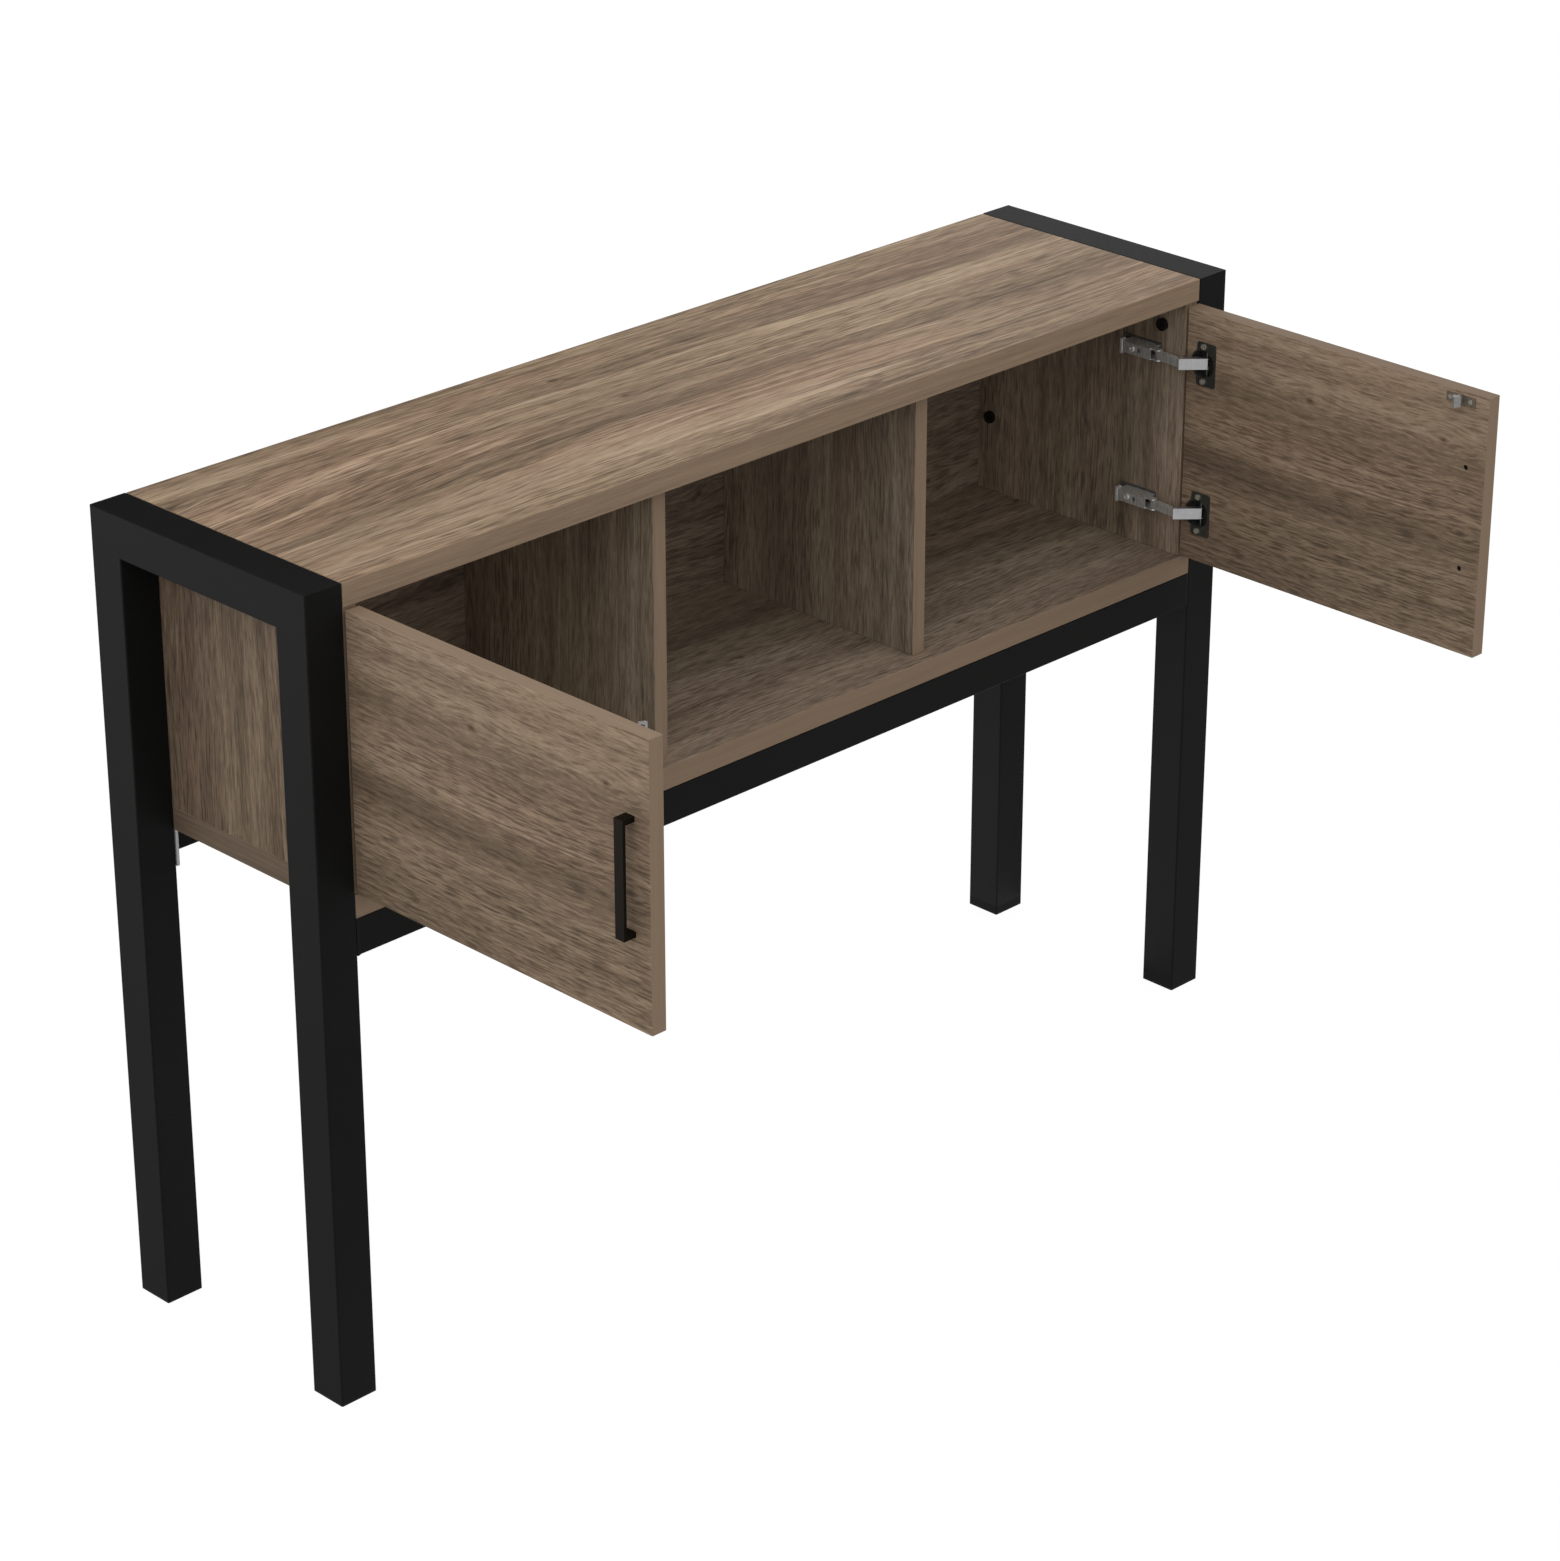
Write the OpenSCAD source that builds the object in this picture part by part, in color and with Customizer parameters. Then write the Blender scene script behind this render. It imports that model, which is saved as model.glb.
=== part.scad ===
/* [Overall] */
// Width over the two end frames
width = 1200; // [1100:10:1400]
// Depth of the end frames and of the boards, front to back
depth = 296; // [280:2:360]
// Height of the top face above the floor
height = 802.5; // [760:0.5:860]

/* [End frames] */
// Side of the square steel tube
tube = 41; // [36:1:44]
// Wall of the square tube
tube_wall = 1.2; // [1:0.1:1.3]
// Outer corner radius of the square tube
tube_corner = 1.6; // [1.4:0.1:2.4]
// Thickness of the glide under each leg
glide_t = 2.5; // [1.5:0.5:5]
// Length of the plug that holds the glide in the leg
glide_plug = 14; // [8:1:25]
// Clearance between the glide's plug and the tube
plug_clear = 0.2; // [0.1:0.05:0.4]

/* [Rails] */
// Height of the rails' lower face above the floor
rail_bottom = 448; // [400:0.5:470]
// Height of a rail
rail_h = 36.5; // [30:0.5:45]
// Depth of a rail, front to back
rail_d = 16; // [14:1:20]
// Wall of a rail
rail_wall = 1.2; // [1:0.1:2]
// Outer corner radius of a rail
rail_corner = 1.6; // [1.4:0.1:2.4]
// Thickness of the plate on each rail end
end_plate_t = 3; // [2:0.5:4]
// Length of the end plate along the leg's inner face
end_plate_len = 42; // [40:1:48]

/* [Boards] */
// Thickness of the top and bottom boards
board_t = 23; // [19:1:26]
// Thickness of the side panels, dividers, back and doors
panel_t = 16; // [15:0.5:18]
// Distance from the centre plane to the middle of a divider
divider_centre = 173; // [150:1:190]
// Gap between a closed door's inner face and the divider's front edge
divider_gap = 1; // [0.5:0.5:2]

/* [Doors] */
// Gap above and below a door
door_gap = 2; // [1.5:0.5:3]
// Gap between a closed door and the side panel
hinge_gap = 3; // [2.5:0.5:4]
// How far a closed door's free edge stays short of the divider's inner face
door_reveal = 1; // [1:0.5:5]
// Gap between an open door's outer face and the plane of the leg's inner face
leg_gap = 1; // [1:0.5:3]
// Gap between an open door's end and the plane of the boards' front edges
open_gap = 1; // [0.5:0.5:2]
// Clearance of the side panel's front corner inside the door end's sweep
sweep_clear = 0.5; // [0.3:0.1:1]

/* [Handles] */
// Height of the strap handle
handle_h = 109.5; // [90:0.5:130]
// Width of the strap
handle_w = 10.5; // [8:0.5:14]
// How far the strap stands off the door
handle_reach = 13.5; // [12:0.5:25]
// Thickness of the strap's grip
handle_grip = 3.2; // [2.5:0.1:5]
// Thickness of the strap's two feet
handle_foot = 5; // [4.5:0.5:8]
// Distance of the handle's middle from the door's free edge
handle_inset = 23; // [15:1:40]
// Height of the handle's middle above the door's middle
handle_lift = 6; // [-20:1:20]
// Diameter of the handle screws' thread
handle_screw_d = 3; // [2.5:0.5:3.5]
// Diameter of the handle screws' sunk heads
handle_screw_head = 5; // [4.5:0.5:6]

/* [Hinges] */
// Height of the lower hinges' middle above the door's lower edge
hinge_low = 52; // [45:1:70]
// Distance of the upper hinges' middle below the door's upper edge
hinge_high = 55; // [45:1:70]
// Diameter of the hinge cup
cup_d = 30; // [29.5:0.5:31]
// Depth of the hinge cup
cup_depth = 11; // [10:0.5:12]
// Distance of the cup's middle from the door's hinge edge
cup_inset = 22; // [21.5:0.5:22.5]
// Sheet thickness of the cup and its flange
cup_wall = 0.8; // [0.6:0.1:1]
// Distance of the link pin from the door's hinge edge
link_pin_inset = 22.6; // [22.2:0.2:23]
// Depth of the link pin inside the door
link_pin_depth = 5; // [4.6:0.2:5.4]
// How far inward of the swing axis the arm's pin sits
arm_pin_in = 19; // [18.5:0.5:19.5]
// How far behind the swing axis the arm's pin sits
arm_pin_back = 18; // [17.5:0.5:19]
// Radius of the hinge pins
pin_r = 1.25; // [1:0.05:1.3]
// Radial clearance of a link on its pin
pin_clear = 0.06; // [0.03:0.01:0.1]
// Sheet thickness of the hinge arm and of the cup link's cheeks
arm_sheet = 1.2; // [1:0.1:1.4]
// Half of the height between the hinge arm's cheeks
arm_half = 4.8; // [4.4:0.1:5.2]
// Gap between a link and the cheeks that it turns between
cheek_gap = 0.5; // [0.3:0.1:0.7]
// Length of the hinge arm's channel
arm_len = 37; // [34:1:44]

/* [Catches] */
// Distance of the striker's middle from the door's free edge
striker_inset = 33; // [28:1:45]
// Depth of the striker's middle below the door's upper edge
striker_drop = 8.5; // [8:0.5:12]
// Length of the striker's plate
striker_len = 34; // [30:1:38]
// Reach of the striker's spear from the door's inner face
spear_reach = 13; // [10:0.5:14]
// Height of the spear
spear_h = 10.5; // [8:0.5:12]

/* [Frame bolts] */
// Distance of the frame bolts from the end frame's front and back faces
bolt_inset = 32; // [30:0.5:34]
// Depth of the front bolts below the top board's underside
bolt_front_drop = 28.5; // [25:0.5:40]
// Height of the back bolts above the bottom board
bolt_back_rise = 82.5; // [60:0.5:110]
// Diameter of the frame bolts' heads
bolt_head_d = 13; // [11:0.5:14]
// Thickness of the frame bolts' heads
bolt_head_t = 4; // [3:0.5:5]
// Diameter of the frame bolts' shanks
bolt_d = 6; // [5:0.5:6]

/* [Case screws and dowels] */
// Diameter of the screws that hold the uprights
panel_screw_d = 5; // [4:0.5:6]
// Diameter of those screws' heads
panel_screw_head = 9; // [8:0.5:10]
// Length of those screws inside the uprights
panel_screw_grip = 30; // [20:1:45]
// Distance of screws and dowels from the boards' front and back edges
panel_fix_inset = 58; // [45:1:70]
// Diameter of the dowels
dowel_d = 8; // [6:1:10]
// Length of a dowel in the top board
dowel_up = 12; // [8:1:16]
// Length of a dowel in the upright
dowel_down = 18; // [12:1:25]
// Diameter of the back panel's screws
back_screw_d = 4; // [3:0.5:4]
// Diameter of the back panel's screw heads
back_screw_head = 7; // [6:0.5:8]
// Length of the back panel's screws inside the dividers
back_screw_grip = 22; // [15:1:35]
// Distance of the back panel's screws from the upper and lower boards
back_screw_inset = 60; // [40:1:80]
// Diameter of the rail screws
rail_screw_d = 4; // [3:0.5:5]
// Length of the rail screws inside the bottom board
rail_screw_grip = 14; // [10:0.5:18]

/* [Hidden] */
$fn = 48;
eps = 0.01;
fit = 0.1;                                      // clearance of a shank in its drilled hole

frame_in = width / 2 - tube;                    // inner face of an end frame
side_in = frame_in - panel_t;                   // inner face of a side panel
front_y = -depth / 2;
back_y = depth / 2;
back_in = back_y - panel_t;                     // inner face of the back panel
board_z = rail_bottom + rail_h;                 // underside of the bottom board
floor_z = board_z + board_t;                    // upper face of the bottom board
top_z = height - board_t;                       // underside of the top board
plate_in = frame_in - end_plate_t;              // inner face of a rail's end plate

// A door turns about an axis inside the side panel's thickness, a little behind its front.
door_out_x = frame_in - leg_gap;                // outer face of an open door
axis_to_end = (door_out_x - side_in + hinge_gap + open_gap) / 2;
axis_to_face = (door_out_x - side_in + hinge_gap - open_gap) / 2;
axis_x = door_out_x - axis_to_face;
axis_y = front_y + axis_to_face;
side_front = axis_y - sqrt(pow(axis_to_end - sweep_clear, 2) - pow(axis_x - side_in, 2));
divider_front = front_y + panel_t + divider_gap;
divider_in = divider_centre - panel_t / 2;
door_w = side_in - hinge_gap - divider_in - door_reveal;
door_z0 = floor_z + door_gap;
door_z1 = top_z - door_gap;
door_in_x = door_out_x - panel_t;               // inner face of an open door
door_end_y = axis_y - axis_to_end;              // hinge end of an open door
door_free_y = door_end_y - door_w;              // free end of an open door

hinge_zs = [door_z0 + hinge_low, door_z1 - hinge_high];
cup_y = door_end_y - cup_inset;
cup_r = cup_d / 2;
link_pin = [door_in_x + link_pin_depth, door_end_y - link_pin_inset];
arm_pin = [axis_x - arm_pin_in, axis_y + arm_pin_back];
knee_pin = [link_pin[0] - arm_pin_in, link_pin[1] + arm_pin_back];
swing_len = norm(knee_pin - arm_pin);
swing_angle = atan2(knee_pin[1] - arm_pin[1], knee_pin[0] - arm_pin[0]);
cup_link_len = norm(link_pin - knee_pin);
cup_link_angle = atan2(link_pin[1] - knee_pin[1], link_pin[0] - knee_pin[0]);
eye_r = pin_r + 1.35;                           // outer radius of a link's eye
cheek_r = eye_r + 0.35;                         // clear distance from a pin to the cup link's web
cup_link_web = 0.8;
link_half = arm_half - cheek_gap;               // half the height of the swing link
cup_link_half = arm_half + 1;                   // half the height of the cup link
hinge_pass = 20;                                // half the length of a hole right through a hinge part
cup_rim = 0.9;                                  // width of the rim round the cup
flange_half = 23;                               // half the height of the cup's flange
flange_near = cup_inset - 8.2;                  // flange edges, from the door's hinge edge
flange_far = cup_inset + cup_r + cup_rim;
flange_t = 1;
cup_screw_inset = cup_inset + 0.6;
cup_screw_half = 18.5;
base_t = 2;                                     // base of the hinge's mounting plate
base_half = 7.5;
base_end = 5;                                   // base length beyond each end of the block
screw_land = 9;                                 // room for a plate screw at each end
arm_out_x = arm_pin[0] - 5.2;                   // outer face of the arm's channel
arm_front = arm_pin[1] + 7;
arm_back = arm_front + arm_len;
block_front = arm_front + screw_land;
block_back = arm_back - base_end;
plate_screw_ys = [block_front - base_end, arm_back + base_end];
clip_t = 2.5;
clip_d = 6;
clip_half = 8;

striker_z = door_z1 - striker_drop;
striker_y = door_free_y + striker_inset;
striker_half = 4.75;
striker_t = 1.2;
striker_screw = striker_len / 2 - 5;
catch_x = side_in - hinge_gap - door_w + striker_inset;
catch_front = divider_front + 0.8;
catch_d = spear_reach + 3.5;
catch_half = 15;
catch_slot = 7.2;
catch_bottom = striker_z - spear_h / 2 - 2.5;
catch_front_drop = 9.2;                         // how low the front of a catch hangs
catch_flange = 2.5;                             // thickness of the catch's screwed flange
leaf_t = 0.7;
small_screw_d = 2.5;
small_screw_grip = 10;

handle_y = door_free_y + handle_inset;
handle_z = (door_z0 + door_z1) / 2 + handle_lift;
handle_sink = 3;                                // depth of the recess for a handle screw's head
handle_screw_zs = [for (s = [-1, 1]) handle_z + s * (handle_h - handle_foot) / 2];

bolt_points = [[front_y + bolt_inset, top_z - bolt_front_drop],
    [back_y - bolt_inset, floor_z + bolt_back_rise]];
plate_bolt_y = end_plate_len - 12;              // from the leg's outer face
plate_bolt_rise = rail_h / 4;
panel_mid = frame_in - panel_t / 2;
panel_fix_ys = [front_y + panel_fix_inset, back_y - panel_fix_inset];
panel_screw_len = board_t + panel_screw_grip;
rail_screw_xs = [-frame_in * 0.75, 0, frame_in * 0.75];
rail_screw_len = rail_h + rail_screw_grip;
back_screw_zs = [floor_z + back_screw_inset, top_z - back_screw_inset];
back_screw_len = panel_t + back_screw_grip;

// ---- shared shapes ----

module on_left() mirror([1, 0, 0]) children();

module on_both_sides() {
    children();
    on_left() children();
}

module front_and_back() {
    children();
    mirror([0, 1, 0]) children();
}

module at_hinges() for (z = hinge_zs) translate([0, 0, z]) children();

module rounded_rect(w, h, r) {
    square([w - 2 * r, h], center = true);
    square([w, h - 2 * r], center = true);
    for (x = [-1, 1], y = [-1, 1])
        translate([x * (w / 2 - r), y * (h / 2 - r)]) circle(r);
}

module tube_ring(w, h, wall, r) difference() {
    rounded_rect(w, h, r);
    rounded_rect(w - 2 * wall, h - 2 * wall, r - wall);
}

// A box from its low corner to its high corner.
module box(a, b) translate(a) cube(b - a);

// Turns a shape drawn along +Z to run along +X.
module along_x() rotate([0, 90, 0]) children();

// Turns a shape drawn along +Z to run along +Y.
module along_y() rotate([-90, 0, 0]) children();

// A profile of [y, z] points, drawn out along the whole width.
module side_profile(points)
    translate([-width, 0, 0]) rotate([90, 0, 90]) linear_extrude(2 * width) polygon(points);

// A screw along +Z: its head's inner face at the origin, a hex or cross socket on top.
module screw(head_d, head_t, d, length, socket_d) difference() {
    union() {
        translate([0, 0, -head_t]) cylinder(d = head_d, h = head_t);
        translate([0, 0, -head_t / 2]) cylinder(d = d, h = length + head_t / 2);
    }
    translate([0, 0, -head_t - eps]) cylinder(d = socket_d, h = head_t * 0.6, $fn = 6);
}

// A countersunk screw along +Z with its head flush at the origin.
module sunk_screw(head_d, d, length, socket_d) difference() {
    union() {
        cylinder(d1 = head_d, d2 = d, h = (head_d - d) / 2);
        cylinder(d = d, h = length);
    }
    translate([0, 0, -eps]) cylinder(d = socket_d, h = (head_d - d) / 2 * 0.7, $fn = 6);
}

// The hole that such a screw fills.
module sunk_hole(head_d, d, length) {
    translate([0, 0, -eps]) cylinder(d1 = head_d + 2 * fit, d2 = d + 2 * fit, h = (head_d - d) / 2 + eps);
    cylinder(d = d + 2 * fit, h = length + fit);
}

// ---- end frames ----

module leg_blank() difference() {
    intersection() {
        translate([width / 2 - tube / 2, front_y + tube / 2, glide_t])
            linear_extrude(height) tube_ring(tube, tube, tube_wall, tube_corner);
        side_profile([[front_y, 0], [front_y + tube, 0], [front_y + tube, top_bar_z()], [front_y, height]]);
    }
    rail_bolt_set(2 * fit);
}

function top_bar_z() = height - tube;

module front_leg() color("#1b1b1b") difference() {
    leg_blank();
    frame_bolt_holes();
}

module back_leg() color("#1b1b1b") difference() {
    mirror([0, 1, 0]) leg_blank();
    frame_bolt_holes();
}

module top_bar() color("#1b1b1b") intersection() {
    translate([width / 2 - tube / 2, -depth, height - tube / 2])
        along_y() linear_extrude(2 * depth) tube_ring(tube, tube, tube_wall, tube_corner);
    side_profile([[front_y, height], [front_y + tube, top_bar_z()],
        [back_y - tube, top_bar_z()], [back_y, height]]);
}

module leg_glides() color("#141414") on_both_sides() front_and_back()
    translate([width / 2 - tube / 2, front_y + tube / 2, 0]) {
        linear_extrude(glide_t) rounded_rect(tube, tube, tube_corner);
        linear_extrude(glide_t + glide_plug)
            rounded_rect(tube - 2 * tube_wall - 2 * plug_clear, tube - 2 * tube_wall - 2 * plug_clear,
                tube_corner - tube_wall);
    }

// ---- rails ----

module rail() color("#1b1b1b") difference() {
    translate([-plate_in, front_y + rail_d / 2, rail_bottom + rail_h / 2])
        along_x() linear_extrude(2 * plate_in) tube_ring(rail_h, rail_d, rail_wall, rail_corner);
    rail_screw_set(2 * fit);
}

module rail_end_plates() color("#8f9294") on_both_sides() front_and_back() difference() {
    box([plate_in, front_y, rail_bottom], [frame_in, front_y + end_plate_len, board_z]);
    rail_bolt_set(2 * fit);
}

// Two bolts pass each end plate into the leg beside the rail.
module rail_bolt_set(extra) for (s = [-1, 1])
    translate([plate_in, front_y + plate_bolt_y, rail_bottom + rail_h / 2 + s * plate_bolt_rise])
        along_x() cylinder(d = bolt_d + extra, h = end_plate_t + tube / 3);

module rail_bolts() color("#26282a") on_both_sides() front_and_back() for (s = [-1, 1])
    translate([plate_in, front_y + plate_bolt_y, rail_bottom + rail_h / 2 + s * plate_bolt_rise])
        along_x() screw(bolt_d + 4, 3, bolt_d, end_plate_t + 8, bolt_d / 2);

module rail_screw_set(extra) for (x = rail_screw_xs)
    translate([x, front_y + rail_d / 2, rail_bottom]) cylinder(d = rail_screw_d + extra, h = rail_screw_len);

module rail_screws() color("#3a3c3e") front_and_back() for (x = rail_screw_xs)
    translate([x, front_y + rail_d / 2, rail_bottom])
        screw(2 * rail_screw_d, rail_screw_d / 2, rail_screw_d, rail_screw_len - fit, rail_screw_d * 0.6);

// ---- boards ----

module top_board() color("#8a7865") difference() {
    box([-frame_in, front_y, top_z], [frame_in, back_y, height]);
    panel_dowel_set(fit);
    catch_screw_set(fit);
}

module bottom_board() color("#8a7865") difference() {
    box([-frame_in, front_y, board_z], [frame_in, back_y, floor_z]);
    front_and_back() rail_screw_set(2 * fit);
    panel_screw_holes();
}

module side_panel() color("#6f6152") difference() {
    box([side_in, side_front, floor_z], [frame_in, back_y, top_z]);
    panel_screw_holes();
    panel_dowel_set(fit);
    frame_bolt_holes();
    at_hinges() plate_screw_set(fit);
}

module divider() color("#6f6152") difference() {
    box([divider_in, divider_front, floor_z], [divider_in + panel_t, back_in, top_z]);
    panel_screw_holes();
    panel_dowel_set(fit);
    back_screw_holes();
}

module back_panel() color("#6f6152") difference() {
    box([-side_in, back_in, floor_z], [side_in, back_y, top_z]);
    on_both_sides() back_screw_holes();
}

// ---- fasteners of the case ----

// The lines along which the uprights are screwed and dowelled to the boards.
module panel_fixings() on_both_sides() for (x = [panel_mid, divider_centre], y = panel_fix_ys)
    translate([x, y, 0]) children();

module panel_screw_holes() panel_fixings()
    translate([0, 0, board_z]) sunk_hole(panel_screw_head, panel_screw_d, panel_screw_len);

module panel_screws() color("#5a5c5e") panel_fixings() translate([0, 0, board_z])
    sunk_screw(panel_screw_head, panel_screw_d, panel_screw_len, panel_screw_d * 0.7);

module panel_dowel_set(extra) panel_fixings()
    translate([0, 0, top_z - dowel_down]) cylinder(d = dowel_d + extra, h = dowel_down + dowel_up);

module panel_dowels() color("#c8b08a") panel_dowel_set(0);

module frame_bolt_holes() for (p = bolt_points)
    translate([side_in - eps, p[0], p[1]]) along_x() cylinder(d = bolt_d + 2 * fit, h = panel_t + tube / 3);

module frame_bolts() color("#101010") on_both_sides() for (p = bolt_points)
    translate([side_in, p[0], p[1]])
        along_x() screw(bolt_head_d, bolt_head_t, bolt_d, panel_t + tube / 3 - 1, bolt_d * 0.65);

module back_screw_holes() for (z = back_screw_zs)
    translate([divider_centre, back_y, z]) rotate([90, 0, 0])
        sunk_hole(back_screw_head, back_screw_d, back_screw_len);

module back_screws() color("#5a5c5e") on_both_sides() for (z = back_screw_zs)
    translate([divider_centre, back_y, z]) rotate([90, 0, 0])
        sunk_screw(back_screw_head, back_screw_d, back_screw_len, back_screw_d * 0.65);

// ---- hinges: fixed side ----

module plate_screw_set(extra) for (y = plate_screw_ys)
    translate([side_in - base_t, y, 0]) along_x() cylinder(d = 3.5 + extra, h = base_t + 12);

module hinge_plate() difference() {
    union() {
        box([side_in - base_t, arm_front, -base_half], [side_in, arm_back + 2 * base_end, base_half]);
        box([arm_out_x + arm_sheet, block_front, -arm_half], [side_in - base_t, block_back, arm_half]);
    }
    plate_screw_set(fit);
    arm_screw_hole(fit);
}

module hinge_plates() color("#8f9294") on_both_sides() at_hinges() hinge_plate();

module hinge_plate_screws() color("#b0b3b5") on_both_sides() at_hinges() for (y = plate_screw_ys)
    translate([side_in - base_t, y, 0]) along_x() screw(6.5, 1.8, 3.5, base_t + 12 - fit, 2.2);

module arm_screw_hole(extra)
    translate([arm_out_x, (block_front + block_back) / 2 + 4, 0])
        along_x() cylinder(d = 4 + extra, h = 11);

// A channel over the plate's block, with a fork in front that holds the arm's pin.
module hinge_arm() difference() {
    union() {
        box([arm_out_x, arm_front, -arm_half - arm_sheet],
            [arm_out_x + arm_sheet, arm_back, arm_half + arm_sheet]);
        for (s = [0, 1]) mirror([0, 0, s]) translate([0, 0, arm_half]) linear_extrude(arm_sheet) {
            translate([arm_out_x, arm_front]) square([side_in - base_t - arm_out_x, arm_back - arm_front]);
            translate([arm_pin[0] - 3.6, arm_pin[1]]) square([7.2, arm_front - arm_pin[1] + eps]);
            translate(arm_pin) circle(3.6);
        }
    }
    translate([arm_pin[0], arm_pin[1], -hinge_pass]) cylinder(r = pin_r, h = 2 * hinge_pass);
    arm_screw_hole(fit);
    translate([arm_out_x + arm_sheet / 2, (block_front + block_back) / 2 - 5, 0])
        cube([arm_sheet * 2, 4.5, 4.5], center = true);
}

module hinge_arms() color("#85888a") on_both_sides() at_hinges() hinge_arm();

module hinge_arm_screws() color("#b0b3b5") on_both_sides() at_hinges()
    translate([arm_out_x, (block_front + block_back) / 2 + 4, 0])
        along_x() screw(6.5, 1.5, 4, 11 - fit, 2.6);

module hinge_arm_pins() color("#9a9da0") on_both_sides() at_hinges()
    translate([arm_pin[0], arm_pin[1], -arm_half - arm_sheet])
        cylinder(r = pin_r, h = 2 * (arm_half + arm_sheet));

module hinge_clips() color("#c4c7c9") on_both_sides() at_hinges()
    box([arm_out_x - 0.6, arm_back, -clip_half], [arm_out_x + clip_d, arm_back + clip_t, clip_half]);

// ---- hinges: moving links ----

// A bar from one pin to the next, with a bored eye at each end.
module swing_link() difference() {
    translate([arm_pin[0], arm_pin[1], -link_half]) rotate(swing_angle) linear_extrude(2 * link_half) {
        translate([0, -eye_r]) square([swing_len, 2 * eye_r]);
        circle(eye_r);
        translate([swing_len, 0]) circle(eye_r);
    }
    for (p = [arm_pin, knee_pin]) translate([p[0], p[1], -hinge_pass])
        cylinder(r = pin_r + pin_clear, h = 2 * hinge_pass);
}

// A channel from the knee pin into the cup, its web towards the room.
module cup_link() difference() {
    translate([knee_pin[0], knee_pin[1], 0]) rotate(cup_link_angle) {
        for (s = [0, 1]) mirror([0, 0, s]) translate([0, 0, arm_half])
            linear_extrude(cup_link_half - arm_half) cup_link_cheek();
        translate([-cheek_r, -cheek_r - cup_link_web, -cup_link_half])
            cube([cup_link_len + cheek_r, cup_link_web, 2 * cup_link_half]);
    }
    translate([knee_pin[0], knee_pin[1], -hinge_pass]) cylinder(r = pin_r, h = 2 * hinge_pass);
    translate([link_pin[0], link_pin[1], -hinge_pass])
        cylinder(r = pin_r + pin_clear, h = 2 * hinge_pass);
}

module cup_link_cheek() {
    translate([0, -cheek_r - cup_link_web]) square([cup_link_len, 2 * cheek_r + cup_link_web]);
    circle(cheek_r);
    translate([-cheek_r, -cheek_r - cup_link_web]) square([cheek_r, cheek_r + cup_link_web]);
    translate([cup_link_len, 0]) circle(cheek_r);
}

module swing_links() color("#85888a") at_hinges() swing_link();

module cup_links() color("#cfd1d2") at_hinges() cup_link();

module knee_pins() color("#9a9da0") at_hinges()
    translate([knee_pin[0], knee_pin[1], -cup_link_half]) cylinder(r = pin_r, h = 2 * cup_link_half);

// ---- doors, drawn open ----

module door_panel() color("#7d6c5a") difference() {
    box([door_in_x, door_free_y, door_z0], [door_out_x, door_end_y, door_z1]);
    at_hinges() {
        translate([door_in_x - eps, cup_y, 0]) along_x() cylinder(r = cup_r, h = cup_depth + eps);
        cup_screw_set(fit);
    }
    for (z = handle_screw_zs) translate([door_in_x - eps, handle_y, z]) along_x() {
        cylinder(d = handle_screw_d + 2 * fit, h = panel_t + 1);
        cylinder(d = handle_screw_head + 2 * fit, h = handle_sink + eps);
    }
    striker_screw_set(fit);
}

module cup_screw_set(extra) for (s = [-1, 1])
    translate([door_in_x - flange_t, door_end_y - cup_screw_inset, s * cup_screw_half])
        along_x() cylinder(d = 3 + extra, h = flange_t + 11);

module hinge_cup() difference() {
    union() {
        translate([door_in_x - flange_t, 0, 0]) along_x() linear_extrude(flange_t) cup_flange();
        translate([door_in_x - flange_t, cup_y, 0]) along_x() cylinder(r = cup_r, h = flange_t + cup_depth);
    }
    translate([door_in_x - flange_t - eps, cup_y, 0])
        along_x() cylinder(r = cup_r - cup_wall, h = flange_t + cup_depth - cup_wall);
    cup_screw_set(fit);
    cup_pin();
}

// The flange in the plane of the door: a strip with round corners, and the rim round the cup.
module cup_flange() {
    // drawn with x as -z and y as y, so that along_x lays it on the door
    translate([0, door_end_y - (flange_near + flange_far) / 2])
        rounded_rect(2 * flange_half, flange_far - flange_near, 3);
    translate([0, cup_y]) circle(cup_r + cup_rim);
}

module hinge_cups() color("#4c4f52") at_hinges() hinge_cup();

module cup_pin() let (half = sqrt(pow(cup_r - cup_wall / 2, 2) - pow(link_pin_inset - cup_inset, 2)))
    translate([link_pin[0], link_pin[1], -half]) cylinder(r = pin_r, h = 2 * half);

module cup_pins() color("#9a9da0") at_hinges() cup_pin();

module cup_screws() color("#b0b3b5") at_hinges() for (s = [-1, 1])
    translate([door_in_x - flange_t, door_end_y - cup_screw_inset, s * cup_screw_half])
        along_x() screw(6, 1.5, 3, flange_t + 11 - fit, 2);

module handle() color("#161616") difference() {
    union() {
        box([door_out_x + handle_reach - handle_grip, handle_y - handle_w / 2, handle_z - handle_h / 2],
            [door_out_x + handle_reach, handle_y + handle_w / 2, handle_z + handle_h / 2]);
        for (z = handle_screw_zs)
            box([door_out_x, handle_y - handle_w / 2, z - handle_foot / 2],
                [door_out_x + handle_reach, handle_y + handle_w / 2, z + handle_foot / 2]);
    }
    for (z = handle_screw_zs) translate([door_out_x - eps, handle_y, z])
        along_x() cylinder(d = handle_screw_d, h = handle_reach - handle_grip);
}

module handle_screws() color("#101010") for (z = handle_screw_zs)
    translate([door_in_x + handle_sink, handle_y, z]) along_x()
        screw(handle_screw_head, handle_sink - 1, handle_screw_d,
            panel_t - handle_sink + handle_reach - handle_grip - 1, handle_screw_d * 0.65);

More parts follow.
